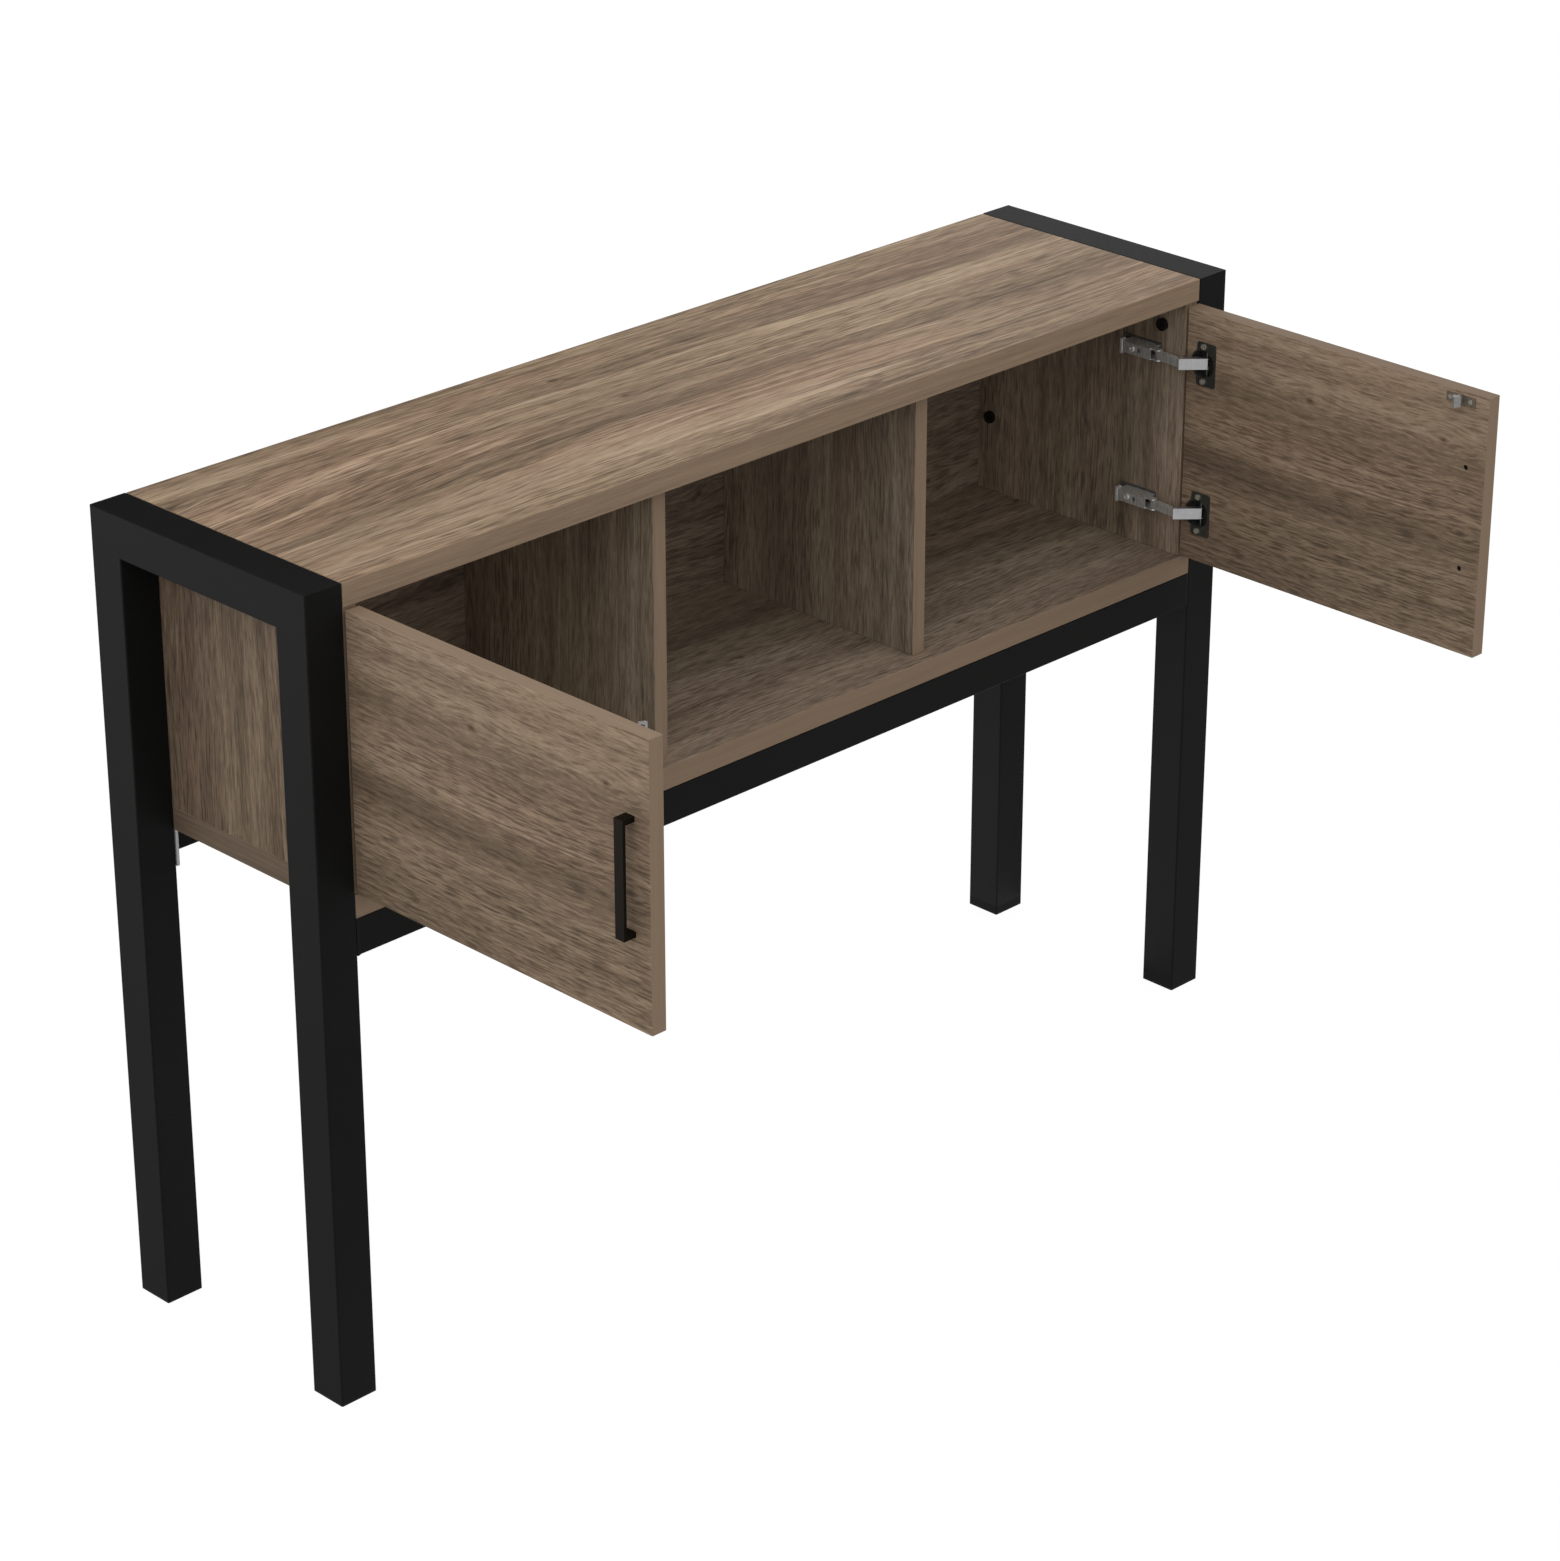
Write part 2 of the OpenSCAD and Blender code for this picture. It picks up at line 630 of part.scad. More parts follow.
module striker_screw_set(extra) for (s = [-1, 1])
    translate([door_in_x - striker_t, striker_y + s * striker_screw, striker_z])
        along_x() cylinder(d = small_screw_d + extra, h = striker_t + small_screw_grip);

// A small plate with an arrow-headed spear that the catch grips.
module striker() color("#3d4043") difference() {
    union() {
        box([door_in_x - striker_t, striker_y - striker_len / 2, striker_z - striker_half],
            [door_in_x, striker_y + striker_len / 2, striker_z + striker_half]);
        translate([door_in_x, striker_y, striker_z - spear_h / 2]) rotate(180) linear_extrude(spear_h)
            polygon([[0, -2.4], [spear_reach * 0.45, -1.3], [spear_reach * 0.55, -4.5], [spear_reach, -1.2],
                [spear_reach, 1.2], [spear_reach * 0.55, 4.5], [spear_reach * 0.45, 1.3], [0, 2.4]]);
    }
    striker_screw_set(fit);
}

module striker_screws() color("#8a8d8f") for (s = [-1, 1])
    translate([door_in_x - striker_t, striker_y + s * striker_screw, striker_z])
        along_x() screw(4.5, 1, small_screw_d, striker_t + small_screw_grip - fit, 1.6);

// ---- catches under the top board ----

// The side view of a catch, whose lower edge rises towards the front, raised by a gap.
module catch_side(gap)
    side_profile([[catch_front, top_z], [catch_front, top_z - catch_front_drop + gap],
        [catch_front + catch_d, catch_bottom + gap], [catch_front + catch_d, top_z]]);

module catch_housing() difference() {
    union() {
        box([catch_x - catch_half, catch_front, top_z - catch_flange],
            [catch_x + catch_half, catch_front + catch_d, top_z]);
        intersection() {
            box([catch_x - catch_slot - 1.6, catch_front, catch_bottom],
                [catch_x + catch_slot + 1.6, catch_front + catch_d, top_z]);
            catch_side(0);
        }
    }
    box([catch_x - catch_slot, catch_front - eps, catch_bottom - eps],
        [catch_x + catch_slot, catch_front + catch_d - 1.6, striker_z + spear_h / 2 + 1]);
    catch_screw_set(fit);
}

module catch_screw_set(extra) on_both_sides() for (s = [-1, 1])
    translate([catch_x + s * (catch_half - 3), catch_front + catch_d / 2, top_z - catch_flange])
        cylinder(d = small_screw_d + extra, h = catch_flange + small_screw_grip);

module catch_housings() color("#e8e6e0") on_both_sides() catch_housing();

// Two leaves bent inwards grip the spear behind its barbs.
module catch_springs() color("#9a9da0") on_both_sides() intersection() {
    translate([catch_x, catch_front + catch_d - 1.6, striker_z - spear_h / 2 + 1])
        for (s = [0, 1]) mirror([s, 0, 0]) linear_extrude(spear_h - 2)
            polygon([[catch_slot, 0], [catch_slot, 2.6 - catch_d], [catch_slot - leaf_t, 2.6 - catch_d],
                [catch_slot - 1.6, -catch_d * 0.6], [catch_slot - leaf_t - 0.4, -1],
                [catch_slot - leaf_t, 0]]);
    catch_side(0.8);
}

module catch_screws() color("#8a8d8f") on_both_sides() for (s = [-1, 1])
    translate([catch_x + s * (catch_half - 3), catch_front + catch_d / 2, top_z - catch_flange])
        screw(4.5, 1, small_screw_d, catch_flange + small_screw_grip - fit, 1.6);

on_left() front_leg();  // left_front_leg
on_left() back_leg();  // left_back_leg
on_left() top_bar();  // left_top_bar
front_leg();  // right_front_leg
back_leg();  // right_back_leg
top_bar();  // right_top_bar
leg_glides();
rail();  // front_rail
mirror([0, 1, 0]) rail();  // back_rail
rail_end_plates();
rail_bolts();
top_board();
bottom_board();
on_left() side_panel();  // left_side_panel
side_panel();  // right_side_panel
on_left() divider();  // left_divider
divider();  // right_divider
back_panel();
frame_bolts();
rail_screws();
panel_screws();
panel_dowels();
back_screws();
hinge_plates();
hinge_plate_screws();
hinge_arms();
hinge_arm_screws();
hinge_arm_pins();
hinge_clips();
catch_housings();
catch_springs();
catch_screws();
on_left() door_panel();  // left_door_panel
on_left() handle();  // left_handle
on_left() handle_screws();  // left_handle_screws
on_left() hinge_cups();  // left_hinge_cups
on_left() cup_pins();  // left_cup_pins
on_left() cup_screws();  // left_cup_screws
on_left() striker();  // left_striker
on_left() striker_screws();  // left_striker_screws
door_panel();  // right_door_panel
handle();  // right_handle
handle_screws();  // right_handle_screws
hinge_cups();  // right_hinge_cups
cup_pins();  // right_cup_pins
cup_screws();  // right_cup_screws
striker();  // right_striker
striker_screws();  // right_striker_screws
on_left() swing_links();  // left_swing_links
on_left() cup_links();  // left_cup_links
on_left() knee_pins();  // left_knee_pins
swing_links();  // right_swing_links
cup_links();  // right_cup_links
knee_pins();  // right_knee_pins
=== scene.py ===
import math

import bmesh
import bpy
from mathutils import Matrix, Vector


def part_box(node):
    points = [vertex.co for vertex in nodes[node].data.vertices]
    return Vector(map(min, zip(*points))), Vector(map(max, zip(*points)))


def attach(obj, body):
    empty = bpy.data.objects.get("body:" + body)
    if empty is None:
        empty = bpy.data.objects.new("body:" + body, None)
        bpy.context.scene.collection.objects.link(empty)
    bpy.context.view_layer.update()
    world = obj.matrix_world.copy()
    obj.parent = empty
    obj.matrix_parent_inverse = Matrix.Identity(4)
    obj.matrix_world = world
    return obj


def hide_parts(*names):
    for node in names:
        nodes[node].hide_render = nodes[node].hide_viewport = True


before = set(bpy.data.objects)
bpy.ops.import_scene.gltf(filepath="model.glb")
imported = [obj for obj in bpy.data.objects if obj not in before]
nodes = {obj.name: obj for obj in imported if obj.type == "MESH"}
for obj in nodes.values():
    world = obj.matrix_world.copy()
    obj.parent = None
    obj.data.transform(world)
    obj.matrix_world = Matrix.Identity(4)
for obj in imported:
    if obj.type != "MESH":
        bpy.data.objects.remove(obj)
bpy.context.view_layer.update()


# ---- Camera ----
# A long lens, level and turned 45 degrees to the sideboard, so that the front, the left end
# frame and the top all show.
aim = Vector((0.0567, -0.0563, 0.3845))
camera_turn = math.radians(45)
camera_rise = math.radians(25.05)
camera_reach = 4.556
lens_length = 107.06
sensor_width = 36
view_depth = 50

camera_data = bpy.data.cameras.new("camera")
camera_data.lens = lens_length
camera_data.sensor_width = sensor_width
camera_data.clip_end = view_depth
camera = bpy.data.objects.new("camera", camera_data)
bpy.context.scene.collection.objects.link(camera)
away = Vector((-math.sin(camera_turn) * math.cos(camera_rise),
               -math.cos(camera_turn) * math.cos(camera_rise), math.sin(camera_rise)))
camera.location = aim + camera_reach * away
camera.rotation_euler = (math.radians(90) - camera_rise, 0, -camera_turn)
bpy.context.scene.camera = camera
bpy.context.scene.view_settings.view_transform = "Standard"


# ---- Studio ----
# A pale floor in a pale room, which both show as white. The room lights evenly from all round,
# with one weak panel above the camera. Two dark flags and three strips are seen only in gloss.
def node(tree, kind, inputs=None, **settings):
    """Adds a shader node. Each input, by name or number, is a value or a socket to link."""
    made = tree.nodes.new(kind)
    for name, value in settings.items():
        setattr(made, name, value)
    for key, value in (inputs or {}).items():
        if isinstance(value, bpy.types.NodeSocket):
            tree.links.new(value, made.inputs[key])
        else:
            made.inputs[key].default_value = value
    return made


def reckon(tree, operation, *values):
    """A Math node's result."""
    return node(tree, "ShaderNodeMath", dict(enumerate(values)), operation=operation).outputs[0]


def background_rays(tree):
    """1 for the rays that show the background: the camera's, and those in gloss or glass."""
    rays = node(tree, "ShaderNodeLightPath").outputs
    seen = reckon(tree, "MAXIMUM", rays["Is Camera Ray"], rays["Is Glossy Ray"])
    return reckon(tree, "MAXIMUM", seen, rays["Is Transmission Ray"])


def link_object(name, data):
    made = bpy.data.objects.new(name, data)
    bpy.context.scene.collection.objects.link(made)
    return made


room_light = 0.92
room_white = 1.0
world = bpy.data.worlds.new("pale room")
bpy.context.scene.world = world
world.use_nodes = True
room = world.node_tree
room.nodes.clear()
lit = node(room, "ShaderNodeBackground", {"Color": (1, 1, 1, 1), "Strength": room_light})
white = node(room, "ShaderNodeBackground", {"Color": (1, 1, 1, 1), "Strength": room_white})
room_mix = node(room, "ShaderNodeMixShader",
                {0: background_rays(room), 1: lit.outputs[0], 2: white.outputs[0]})
node(room, "ShaderNodeOutputWorld", {"Surface": room_mix.outputs[0]})

floor_size = 12
floor_grey = 0.3
floor_shadow = 0.06
floor_white = 0.96
floor_shape = bmesh.new()
bmesh.ops.create_grid(floor_shape, x_segments=1, y_segments=1, size=floor_size)
floor_mesh = bpy.data.meshes.new("floor")
floor_shape.to_mesh(floor_mesh)
link_object("floor", floor_mesh)

floor_paint = bpy.data.materials.new("pale floor")
floor_paint.use_nodes = True
paint = floor_paint.node_tree
paint.nodes.clear()
bounce = node(paint, "ShaderNodeBsdfDiffuse", {"Color": (floor_grey, floor_grey, floor_grey, 1)})
shadow = node(paint, "ShaderNodeBsdfDiffuse", {"Color": (floor_shadow, floor_shadow, floor_shadow, 1)})
glow = node(paint, "ShaderNodeEmission", {"Color": (1, 1, 1, 1), "Strength": floor_white})
seen_floor = node(paint, "ShaderNodeAddShader", {0: shadow.outputs[0], 1: glow.outputs[0]})
floor_mix = node(paint, "ShaderNodeMixShader",
                 {0: background_rays(paint), 1: bounce.outputs[0], 2: seen_floor.outputs[0]})
node(paint, "ShaderNodeOutputMaterial", {"Surface": floor_mix.outputs[0]})
floor_mesh.materials.append(floor_paint)

panel_place = Vector((-2.7, -1.5, 3.8))
panel_target = Vector((0, 0, 0.6))
panel_light = bpy.data.lights.new("high_panel", "AREA")
panel_light.size = 3.0
panel_light.energy = 20
panel = link_object("high_panel", panel_light)
panel.location = panel_place
panel.rotation_euler = (panel_target - panel_place).to_track_quat("-Z", "Y").to_euler()


def gloss_card(name, place, target, size, strength):
    """A square card that only shows in gloss, as a dark flag or a bright strip."""
    shape = bmesh.new()
    facing = (Vector(target) - Vector(place)).to_track_quat("Z", "Y").to_matrix().to_4x4()
    bmesh.ops.create_grid(shape, x_segments=1, y_segments=1, size=size / 2,
                          matrix=Matrix.Translation(place) @ facing)
    mesh = bpy.data.meshes.new(name)
    shape.to_mesh(mesh)
    look = bpy.data.materials.new(name)
    look.use_nodes = True
    look.node_tree.nodes.clear()
    shine = node(look.node_tree, "ShaderNodeEmission", {"Color": (1, 1, 1, 1), "Strength": strength})
    node(look.node_tree, "ShaderNodeOutputMaterial", {"Surface": shine.outputs[0]})
    mesh.materials.append(look)
    card = link_object(name, mesh)
    card.visible_camera = False
    card.visible_diffuse = False
    card.visible_transmission = False
    card.visible_shadow = False


gloss_card("front_flag", (1.9, -2.1, 0.02), (0.0, 0.0, 0.6), 2.6, 0.0)
gloss_card("back_flag", (-0.15, 0.62, 1.2), (-0.6, 0.0, 0.8), 0.9, 0.0)
gloss_card("left_strip", (-2.3, 1.7, 0.5), (-0.6, 0.0, 0.4), 1.6, 5.6)
gloss_card("low_strip", (0.1, 0.4, 0.01), (0.1, 0.4, 1.0), 1.0, 1.9)
gloss_card("back_strip", (1.15, 0.55, 1.1), (0.58, 0.0, 0.8), 0.5, 2.0)


# ---- End frames, rails and their glides ----
# Square steel tube, welded and ground flush at the mitres, then powder coated satin black.
# The rails are flat tube, bolted between the two end frames. The glides are black plastic.
def material(name):
    """A new material with an empty node tree, and its tree."""
    made = bpy.data.materials.new(name)
    made.use_nodes = True
    made.node_tree.nodes.clear()
    return made, made.node_tree


def object_place(tree):
    return node(tree, "ShaderNodeTexCoord").outputs["Object"]


def surface(tree, inputs):
    """The material's surface shader, joined to its output."""
    shader = node(tree, "ShaderNodeBsdfPrincipled", inputs)
    node(tree, "ShaderNodeOutputMaterial", {"Surface": shader.outputs[0]})


def reckon_vector(tree, operation, *values):
    """A Vector Math node's result."""
    return node(tree, "ShaderNodeVectorMath", dict(enumerate(values)), operation=operation).outputs[0]


def noise(tree, place, scale, detail=2.0, rough=0.5, dimensions="3D"):
    """Noise, stretched by a scale for each axis, in cycles a metre."""
    return node(tree, "ShaderNodeTexNoise",
                {"Vector": reckon_vector(tree, "MULTIPLY", place, scale), "Scale": 1.0, "Detail": detail,
                 "Roughness": rough}, noise_dimensions=dimensions).outputs[0]


def ramp(tree, level, *stops):
    """A colour ramp through (position, colour) stops. A single number stands for a grey."""
    made = node(tree, "ShaderNodeValToRGB", {0: level})
    band = made.color_ramp
    while len(band.elements) < len(stops):
        band.elements.new(0.5)
    for element, (place, colour) in zip(band.elements, stops):
        red_green_blue = (colour,) * 3 if isinstance(colour, float) else tuple(colour)
        element.position = place
        element.color = red_green_blue + (1,)
    return made.outputs[0]


def soft_ramp(tree, level, low, high):
    """A ramp over the middle of a noise, which seldom leaves 0.3 to 0.7."""
    return ramp(tree, level, (0.3, low), (0.7, high))


def toned(colour, tone):
    """A colour times one number, or times one for each of red, green and blue."""
    tones = tone if isinstance(tone, tuple) else (tone,) * 3
    return tuple(channel * part for channel, part in zip(colour, tones))


def bump(tree, height, depth, strength=1.0):
    return node(tree, "ShaderNodeBump",
                {"Height": height, "Distance": depth, "Strength": strength}).outputs[0]


def powder_coat(name, colour, rough=0.6, shine=0.06):
    """Baked powder: faint clouds, and a fine peel like an orange's skin."""
    peel_size = 1100
    peel_depth = 0.00005
    cloud_size = 9
    made, tree = material(name)
    place = object_place(tree)
    peel = noise(tree, place, (peel_size,) * 3, 1.0)
    cloud = noise(tree, place, (cloud_size,) * 3, 3.0)
    surface(tree, {"Base Color": soft_ramp(tree, cloud, toned(colour, 0.92), toned(colour, 1.1)),
                   "Roughness": soft_ramp(tree, peel, rough - 0.05, rough + 0.07),
                   "Specular IOR Level": shine, "Normal": bump(tree, peel, peel_depth)})
    return made


def finish(names, look):
    """Gives CAD pieces a material."""
    for name in names:
        for slot in nodes[name].material_slots:
            slot.material = look


black_coat = powder_coat("satin black powder coat", (0.0083, 0.0083, 0.0081))
finish(["left_front_leg", "left_back_leg", "left_top_bar", "right_front_leg", "right_back_leg",
        "right_top_bar", "front_rail", "back_rail"], black_coat)

glide_plastic = powder_coat("black glide plastic", (0.014, 0.014, 0.014))
finish(["leg_glides"], glide_plastic)


# ---- Top board, bottom board and back ----
# Chipboard under a printed greyish brown oak, its grain along the width. The edges are closed
# with a plain band and eased by hand.
X, Y, Z = 0, 1, 2
oak_brown = (0.281, 0.200, 0.136)


def oak_decor(name, along, across, shift, tone, long=0.75, streaky=0.8, short=0.45, knotty=0.4,
              sway=0.05, wave=0.006, lined=0.08, hue=1.0, run=0.75, fibre=42):
    """Printed oak, drawn flat as on its sheet of paper: long streaks, short fibres and pores,
    and small knots that the fibres flow round. shift picks the place on the sheet. long, short,
    lined and hue say how strong the streaks, fibres, thin lines and tints are, knotty how many
    places have a knot, sway and wave how far the grain bends, in metres, and run and fibre how
    often streaks and fibres change along the grain, in cycles a metre."""
    made, tree = material(name)
    axes = node(tree, "ShaderNodeSeparateXYZ", {0: object_place(tree)}).outputs
    flat = node(tree, "ShaderNodeCombineXYZ", {0: axes[along], 1: axes[across]}).outputs[0]
    sheet = node(tree, "ShaderNodeMapping", {"Vector": flat, "Location": shift}).outputs[0]

    # Cycles a metre along the grain and across it.
    knot_size, sway_size, wave_size = (6.0, 12.0), (1.3, 3.5), (9, 24)
    streak_size, fibre_size, pore_size = (run, 14), (fibre, 430), (0.8 * fibre, 420)
    line_size, patch_size, blush_size = (0.8, 62), (1.8, 13), (1.6, 17)
    knot_pull = 0.7
    knot_dark = 0.4
    pore_dark = 0.55
    line_half = 0.025
    line_levels = (0.62, 0.38)

    def strokes(place, size, detail=2.0, rough=0.5):
        """Noise on the sheet, drawn out along the grain."""
        return noise(tree, place, (*size, 0), detail, rough, "2D")

    grid = reckon_vector(tree, "MULTIPLY", sheet, (*knot_size, 0))
    knots = node(tree, "ShaderNodeTexVoronoi", {"Vector": grid, "Scale": 1.0, "Randomness": 0.7},
                 voronoi_dimensions="2D").outputs
    chosen = reckon(tree, "LESS_THAN", knots["Color"], knotty)
    from_knot = reckon_vector(tree, "SUBTRACT", grid, knots["Position"])
    aside = node(tree, "ShaderNodeSeparateXYZ", {0: from_knot}).outputs[1]
    pull = reckon(tree, "MULTIPLY", ramp(tree, knots["Distance"], (0.0, 1.0), (0.28, 0.0)), chosen)
    spread = reckon(tree, "MULTIPLY", reckon(tree, "MULTIPLY", aside, pull), -knot_pull / knot_size[1])
    swayed = reckon(tree, "MULTIPLY_ADD", strokes(sheet, sway_size, 1.0), sway, -sway / 2)
    waved = reckon(tree, "MULTIPLY_ADD", strokes(sheet, wave_size, 1.0), wave, -wave / 2)
    drift = reckon(tree, "ADD", reckon(tree, "ADD", swayed, waved), spread)
    drift = node(tree, "ShaderNodeCombineXYZ", {1: drift}).outputs[0]
    flow = reckon_vector(tree, "ADD", sheet, drift)

    fibres = strokes(flow, fibre_size, 2.0, 0.8)
    streaks = strokes(flow, streak_size, 4.0, streaky)
    value = reckon(tree, "MULTIPLY_ADD", streaks, long, 0.5 - long / 2 - short / 2)
    value = reckon(tree, "MULTIPLY_ADD", fibres, short, value)
    lines = strokes(flow, line_size, 1.0)
    pale, dark = (ramp(tree, lines, (middle - line_half, 0.0), (middle, 1.0), (middle + line_half, 0.0))
                  for middle in line_levels)
    value = reckon(tree, "MULTIPLY_ADD", reckon(tree, "SUBTRACT", pale, dark), lined, value)
    dense = ramp(tree, strokes(sheet, patch_size), (0.40, 0.45), (0.60, 0.85))
    pores = ramp(tree, strokes(flow, pore_size, 1.0), (0.52, 0.0), (0.66, 1.0))
    porous = reckon(tree, "MULTIPLY", pores, dense)
    value = reckon(tree, "MULTIPLY_ADD", porous, -pore_dark * short, value)
    core = ramp(tree, knots["Distance"], (0.008, 1.0), (0.022, 0.4), (0.045, 0.0))
    value = reckon(tree, "MULTIPLY_ADD", reckon(tree, "MULTIPLY", core, chosen), -knot_dark, value)

    browns = ((0.18, toned(oak_brown, 0.42)), (0.40, toned(oak_brown, 0.75)), (0.5, oak_brown),
              (0.60, (0.356, 0.262, 0.179)), (0.82, (0.51, 0.39, 0.28)))
    colour = ramp(tree, value, *((level, toned(brown, tone)) for level, brown in browns))
    greyer = (1.0, 1 + 0.003 * hue, 1 - 0.02 * hue)
    redder = (1 + 0.02 * hue, 1 - 0.015 * hue, 1 - 0.02 * hue)
    blush = ramp(tree, strokes(flow, blush_size), (0.40, greyer), (0.5, 1.0), (0.62, redder))
    colour = node(tree, "ShaderNodeMix", {0: 1.0, 6: colour, 7: blush}, data_type="RGBA",
                  blend_type="MULTIPLY").outputs[2]
    surface(tree, {"Base Color": colour, "Roughness": soft_ramp(tree, fibres, 0.62, 0.54),
                   "Specular IOR Level": 0.05, "Normal": bump(tree, value, 0.0001, 0.5)})
    return made


def edge_band(name, along, tone=1.0, lines=1.0):
    """Thin plain band in the decor's middle brown, with faint lines along it."""
    made, tree = material(name)
    line_size = [150, 150, 150]
    line_size[along] = 4
    line_tint = 0.14 * lines
    strokes = noise(tree, object_place(tree), line_size, 4.0, 1.0)
    dark, pale = (toned(oak_brown, tone * part) for part in (1 - line_tint, 1 + line_tint))
    surface(tree, {"Base Color": soft_ramp(tree, strokes, dark, pale), "Roughness": 0.6,
                   "Specular IOR Level": 0.08, "Normal": bump(tree, strokes, 0.00003)})
    return made


def eased_board(node_name, body, decor, bands):
    """Stands for a CAD board: the same board with its twelve outer edges eased. bands gives
    the edge band's look for each axis that an edge can face."""
    ease = 0.0007
    touch = 1e-5
    sharp_angle = 1.2
    facing_share = 0.7
    shape = bmesh.new()
    shape.from_mesh(nodes[node_name].data)
    bmesh.ops.remove_doubles(shape, verts=shape.verts, dist=touch / 10)
    bmesh.ops.dissolve_limit(shape, angle_limit=math.radians(1), verts=shape.verts,
                             edges=shape.edges)
    low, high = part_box(node_name)

    def outer(vert):
        """Whether a corner lies on two or three sides of the board's box."""
        return sum(min(abs(vert.co[axis] - low[axis]), abs(vert.co[axis] - high[axis])) < touch
                   for axis in (X, Y, Z)) > 1

    edges = [edge for edge in shape.edges if len(edge.link_faces) == 2
             and edge.calc_face_angle(0) > sharp_angle and all(map(outer, edge.verts))]
    bmesh.ops.bevel(shape, geom=edges, offset=ease, offset_type="OFFSET", affect="EDGES",
                    segments=2, profile=0.5, material=-1)
    for face in shape.faces:
        face.smooth = False
        for look, axis in enumerate(bands, 1):
            if abs(face.normal[axis]) > facing_share:
                face.material_index = look
    mesh = bpy.data.meshes.new(node_name + "_eased")
    shape.to_mesh(mesh)
    for look in (decor, *bands.values()):
        mesh.materials.append(look)
    piece = link_object(node_name + "_eased", mesh)
    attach(piece, body)
    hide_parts(node_name)


top_oak = oak_decor("oak decor of the top", X, Y, (0.78, 3.58, 0), (0.93, 0.915, 0.895), long=0.88,
                    streaky=0.97, short=0.40, knotty=0.25, wave=0.005, lined=0.22, hue=1.3, run=0.55,
                    fibre=30)
long_band = edge_band("front band of the top board", X, lines=1.7)
eased_board("top_board", "cabinet", top_oak, {Y: long_band, X: long_band})

# The bottom's print is set paler and greyer than the top's: painted light against the shade inside the
# compartments.
bottom_oak_with_painted_light = oak_decor("oak decor of the bottom, paler for painted light", X, Y, (2.97, 2.7, 0), (1.11, 1.21, 1.31), long=0.62)
low_band = edge_band("front band of the bottom board", X, 0.94, 0.7)
# The band on the bottom board's end is set much darker than its front band: painted shade.
end_band_with_painted_shade = edge_band("end band of the bottom board, darker for painted shade", Y, 0.6, 2.2)
eased_board("bottom_board", "cabinet", bottom_oak_with_painted_light, {Y: low_band, X: end_band_with_painted_shade})

# The back's print is set darker than the other boards': painted shade at the back of the compartments.
back_oak_with_painted_shade = oak_decor("oak decor of the back, darker for painted shade", X, Z, (3.1, 1.4, 0), (0.71, 0.76, 0.81))
back_band = edge_band("edge of the back", X)
eased_board("back_panel", "cabinet", back_oak_with_painted_shade, {Z: back_band, X: back_band})


# ---- Side panels and dividers ----
# The same decor board with its grain upright. Side panels are screwed and dowelled between the
# two long boards and bolted to the legs, the dividers stand between them.
upright_band = edge_band("front band of the uprights", Z, 0.95)
# The left side panel's print is set darker, painted shade under the end frame's top bar. The right side
# panel's and the dividers' prints are set paler and greyer, painted light against the shade inside the
# compartments.
for upright, shift, long, tone in (("left_side_panel", (0.4, 2.0, 0), 1.05, 0.73),
                                   ("right_side_panel", (1.1, 3.0, 0), 0.75, (1.04, 1.12, 1.21)),
                                   ("left_divider", (0.34, 0.51, 0), 0.75, (1.08, 1.18, 1.28)),
                                   ("right_divider", (1.04, 3.29, 0), 0.75, (1.07, 1.18, 1.3))):
    decor = oak_decor("oak decor of the " + upright.replace("_", " "), Z, Y, shift, tone, long=long,
                      streaky=0.9, short=0.42, knotty=0.3)
    eased_board(upright, "cabinet", decor, {Y: upright_band, Z: upright_band})


# ---- Doors ----
# The same decor board with its grain along the door's length and a plain band on all four edges.
# Both doors are cut from the same place of the printed sheet.
door_oak = oak_decor("oak decor of the doors", Y, Z, (3.91, 3.7, 0), 0.98, long=0.81, streaky=0.75,
                     short=0.47, knotty=0.3, sway=0.035, wave=0.004, lined=0.11, hue=0.6, run=0.5,
                     fibre=48)
free_band = edge_band("band on the free edge of the doors", Z, 1.02, 0.4)
# The band on the right door's top edge is set darker than on the left door: painted shade.
for side, tone in (("left", 0.9), ("right", 0.75)):
    top_band = edge_band(f"band on the top edge of the {side} door", Y, tone, 0.6)
    eased_board(side + "_door_panel", side + "_door", door_oak, {Y: free_band, Z: top_band})


# ---- Handles ----
# Flat steel strap, bent square at both ends and lacquered satin black. Two screws from inside
# the door hold each one.
handle_black = powder_coat("satin black lacquer of the handles", (0.0088, 0.0062, 0.0038), 0.45, 0.045)
finish(["left_handle", "right_handle", "left_handle_screws", "right_handle_screws"], handle_black)


# ---- Hinges ----
# Pressed steel concealed hinges: zinc plated arm, plate, clip and links, and a darker nickel
# plated cup with nickel screws. Pins are riveted, the other screws are bright zinc.
zinc_cloud = (160, 160, 160)


def plated(name, colour, rough, metal):
    """Plated steel: cloudy tint, and fine draw lines in its shine."""
    made, tree = material(name)
    place = object_place(tree)
    cloud = noise(tree, place, zinc_cloud, 3.0)
    scratch = noise(tree, place, (900, 900, 60), 2.0)
    surface(tree, {"Base Color": soft_ramp(tree, cloud, toned(colour, 0.93), toned(colour, 1.05)),
                   "Metallic": metal,
                   "Roughness": soft_ramp(tree, scratch, rough - 0.06, rough + 0.08),
                   "Normal": bump(tree, scratch, 0.00001)})
    return made


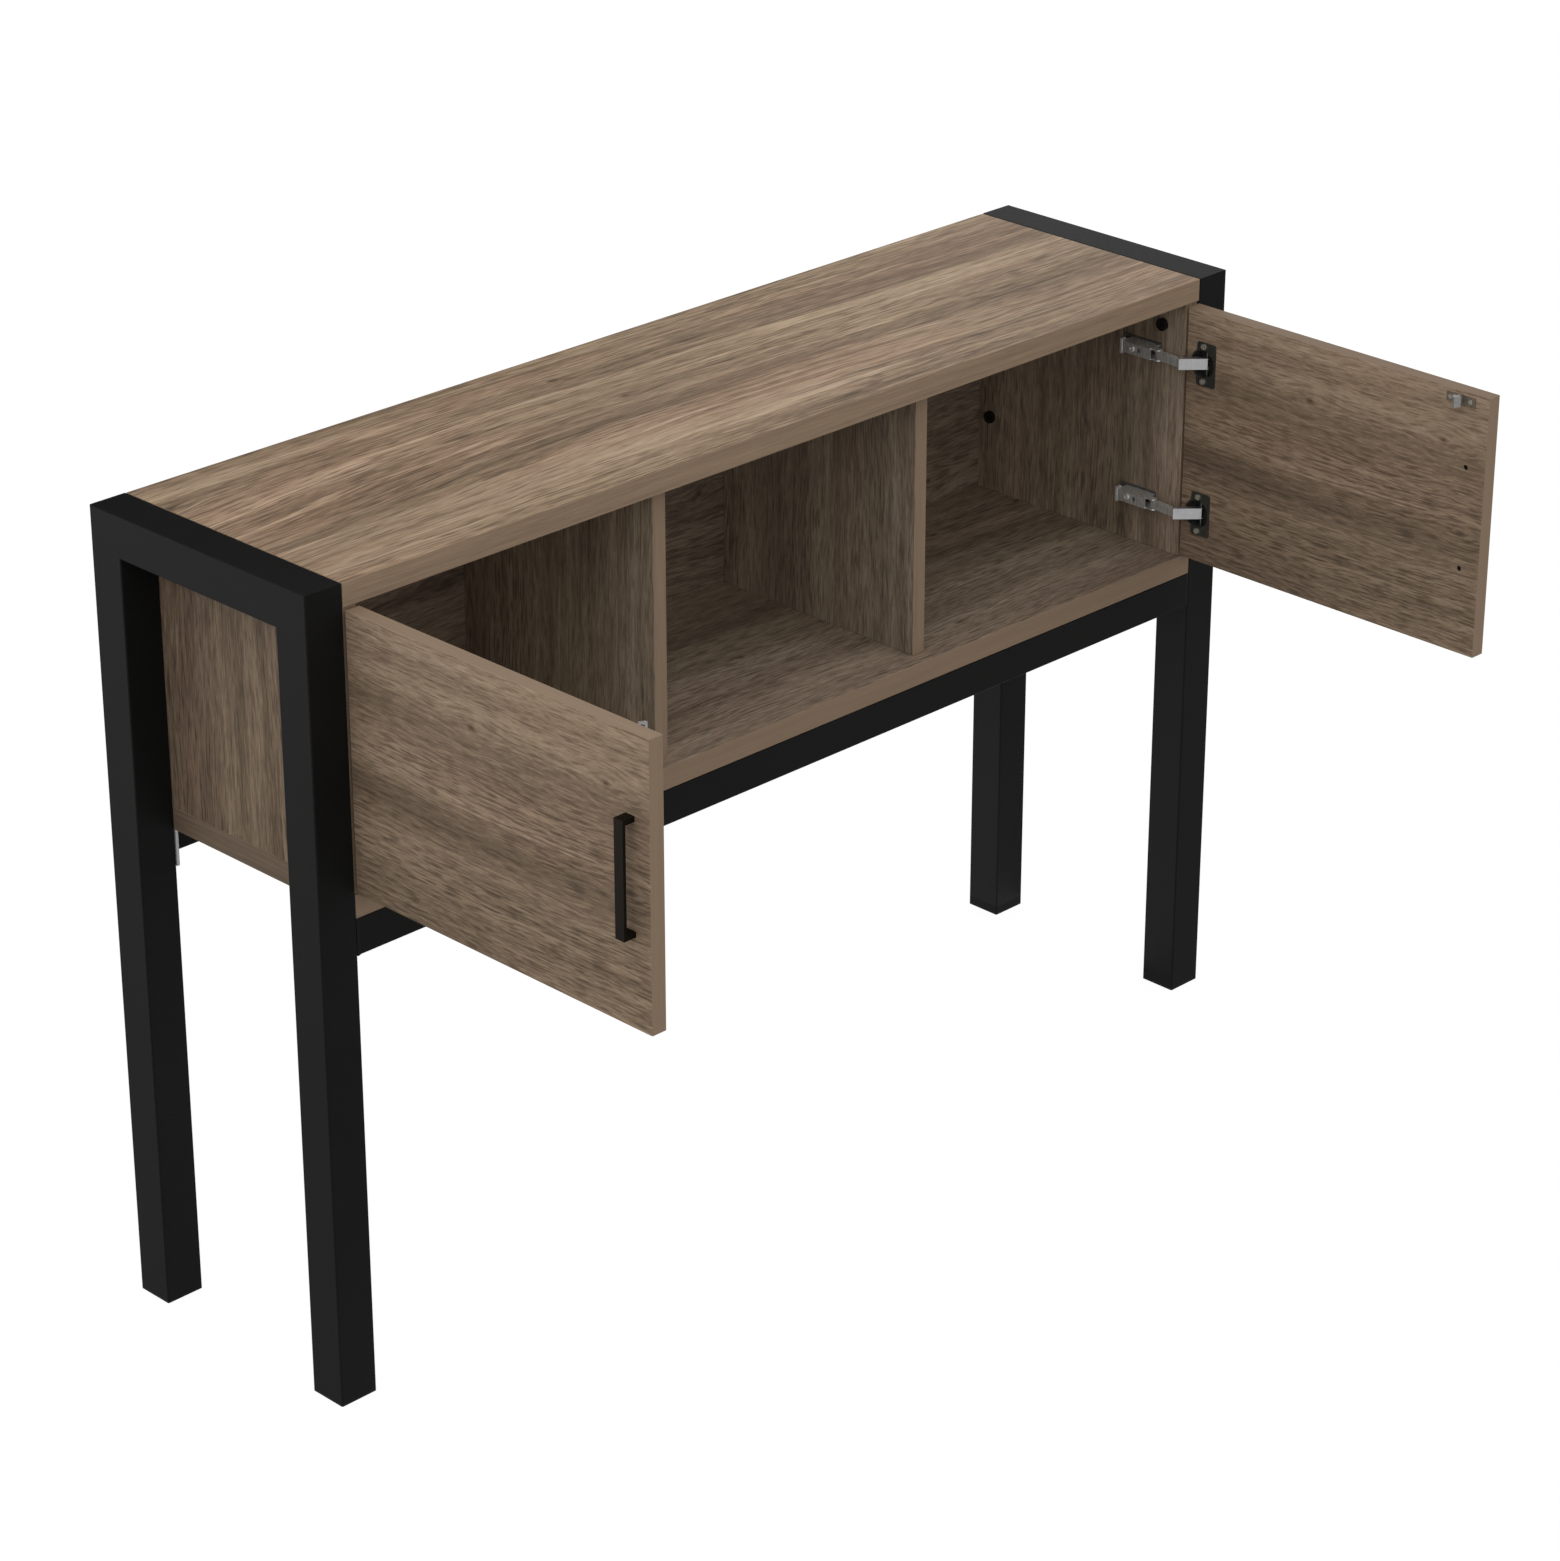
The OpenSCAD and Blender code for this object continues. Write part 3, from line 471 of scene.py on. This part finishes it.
bright_zinc = plated("bright zinc of the screws", (0.72, 0.72, 0.71), 0.28, 0.5)
link_zinc = plated("zinc of the cup links", (0.37, 0.37, 0.37), 0.36, 0.85)
arm_zinc = plated("zinc of the hinge arms", (0.58, 0.585, 0.565), 0.3, 0.55)
plate_zinc = plated("dull zinc of the hinge plates", (0.14, 0.14, 0.135), 0.4, 0.55)
dark_nickel = plated("dark nickel", (0.085, 0.086, 0.078), 0.28, 0.6)
screw_nickel = plated("nickel of the cup screws", (0.48, 0.465, 0.41), 0.28, 0.6)
finish(["hinge_arms", "left_swing_links", "right_swing_links"], arm_zinc)
finish(["hinge_plates"], plate_zinc)
finish(["left_cup_links", "right_cup_links"], link_zinc)
finish(["hinge_clips", "hinge_plate_screws", "hinge_arm_screws", "hinge_arm_pins", "left_knee_pins",
        "right_knee_pins"], bright_zinc)
finish(["left_hinge_cups", "right_hinge_cups", "left_cup_pins", "right_cup_pins"], dark_nickel)
finish(["left_cup_screws", "right_cup_screws"], screw_nickel)


# ---- Catches and strikers ----
# A black plastic housing with two steel leaves under the top board, and a bright steel spear
# on a browned plate on each door's inner face.
plate_reach = 0.0016
plate_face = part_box("right_door_panel")[0][0] - plate_reach
striker_steel, striker_tree = material("striker steel")
striker_place = object_place(striker_tree)
sideways = node(striker_tree, "ShaderNodeSeparateXYZ", {0: striker_place}).outputs[0]
from_middle = reckon(striker_tree, "ABSOLUTE", sideways)
on_plate = reckon(striker_tree, "GREATER_THAN", from_middle, plate_face)
striker_cloud = noise(striker_tree, striker_place, (300, 300, 300), 3.0)
spear_tint = soft_ramp(striker_tree, striker_cloud, (0.22, 0.215, 0.205), (0.28, 0.272, 0.26))
plate_tint = soft_ramp(striker_tree, striker_cloud, (0.17, 0.14, 0.108), (0.22, 0.18, 0.14))
striker_tint = node(striker_tree, "ShaderNodeMix", {0: on_plate, 6: spear_tint, 7: plate_tint},
                    data_type="RGBA").outputs[2]
surface(striker_tree, {"Base Color": striker_tint, "Metallic": 0.5,
                       "Roughness": soft_ramp(striker_tree, striker_cloud, 0.32, 0.44),
                       "Normal": bump(striker_tree, striker_cloud, 0.00002)})
finish(["left_striker", "right_striker"], striker_steel)
finish(["catch_housings"], powder_coat("black catch plastic", (0.02, 0.02, 0.02), 0.5, 0.3))
finish(["left_striker_screws", "right_striker_screws"], screw_nickel)
finish(["catch_springs", "catch_screws"], bright_zinc)


# ---- End plates of the rails ----
# Flat steel plates that take the bolts into the legs. Those of the front rail are tinted black like
# the frame, those of the back rail a light metal grey.
plate_steel, plate_tree = material("steel of the end plates")
plate_place = object_place(plate_tree)
depth = node(plate_tree, "ShaderNodeSeparateXYZ", {0: plate_place}).outputs[1]
at_back = reckon(plate_tree, "GREATER_THAN", depth, 0.0)
plate_cloud = noise(plate_tree, plate_place, zinc_cloud, 3.0)
coated = soft_ramp(plate_tree, plate_cloud, (0.0085, 0.0085, 0.0083), (0.0101, 0.0101, 0.0099))
zinc = soft_ramp(plate_tree, plate_cloud, (0.40, 0.40, 0.41), (0.5, 0.5, 0.51))
end_tint = node(plate_tree, "ShaderNodeMix", {0: at_back, 6: coated, 7: zinc},
                data_type="RGBA").outputs[2]
surface(plate_tree, {"Base Color": end_tint, "Metallic": reckon(plate_tree, "MULTIPLY", at_back, 0.6),
                     "Roughness": soft_ramp(plate_tree, plate_cloud, 0.45, 0.6),
                     "Specular IOR Level": 0.06, "Normal": bump(plate_tree, plate_cloud, 0.00002)})
finish(["rail_end_plates"], plate_steel)


# ---- Bolts, screws and dowels of the case ----
# Black button-head bolts go into the end frames, zinc screws through the boards and rails. Beech
# dowels join the uprights to the top board.
bolt_black = powder_coat("black oxide of the bolts", (0.008, 0.008, 0.008), 0.4, 0.3)
finish(["frame_bolts", "rail_bolts"], bolt_black)
finish(["rail_screws", "panel_screws", "back_screws"], arm_zinc)
beech, beech_tree = material("turned beech")
beech_grain = noise(beech_tree, object_place(beech_tree), (600, 600, 40), 3.0)
beech_tint = soft_ramp(beech_tree, beech_grain, (0.45, 0.30, 0.16), (0.58, 0.42, 0.25))
surface(beech_tree, {"Base Color": beech_tint, "Roughness": 0.6})
finish(["panel_dowels"], beech)
